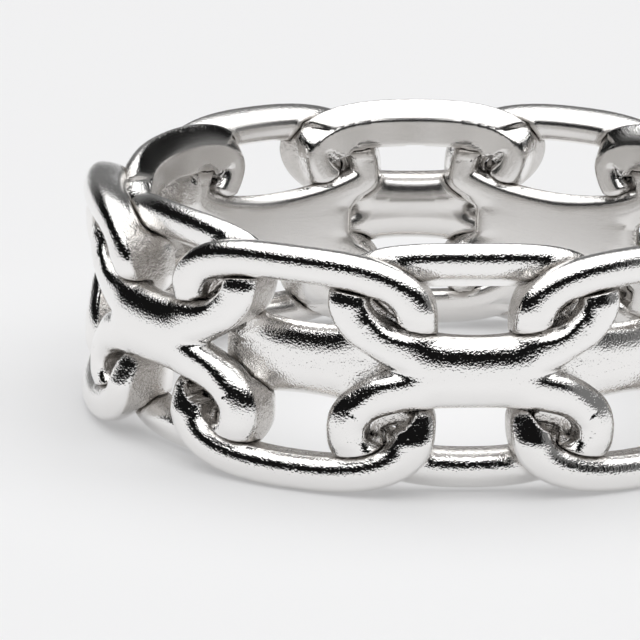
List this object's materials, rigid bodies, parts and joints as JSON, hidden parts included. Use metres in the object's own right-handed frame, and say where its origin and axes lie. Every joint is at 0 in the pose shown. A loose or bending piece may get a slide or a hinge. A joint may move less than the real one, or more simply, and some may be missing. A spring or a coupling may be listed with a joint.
{
  "type": "finger ring",
  "caption": "Polished silver finger ring: a rigid band that looks like a wide double chain of interlocked figure-of-eight links.",
  "frame": {"origin": "on the ring axis, at the level of the lower rim that the ring lies on", "axes": "+Z along the ring axis, up from the rim it lies on; -Y towards the middle of proud_link_1, seen in front; +X to the right of it"},
  "size_m": [0.0208, 0.0208, 0.0071],
  "materials": {
    "proud_silver": "polished silver with a fine grain",
    "recessed_silver": "polished silver, with a pitted cast face at the recessed waist"
  },
  "bodies": {
    "root": {"proud_link_1": "proud_silver", "proud_link_2": "proud_silver", "proud_link_3": "proud_silver", "proud_link_4": "proud_silver", "proud_link_5": "proud_silver", "proud_link_6": "proud_silver", "recessed_link_1": "recessed_silver", "recessed_link_2": "recessed_silver", "recessed_link_3": "recessed_silver", "recessed_link_4": "recessed_silver", "recessed_link_5": "recessed_silver", "recessed_link_6": "recessed_silver"}
  },
  "joints": []
}
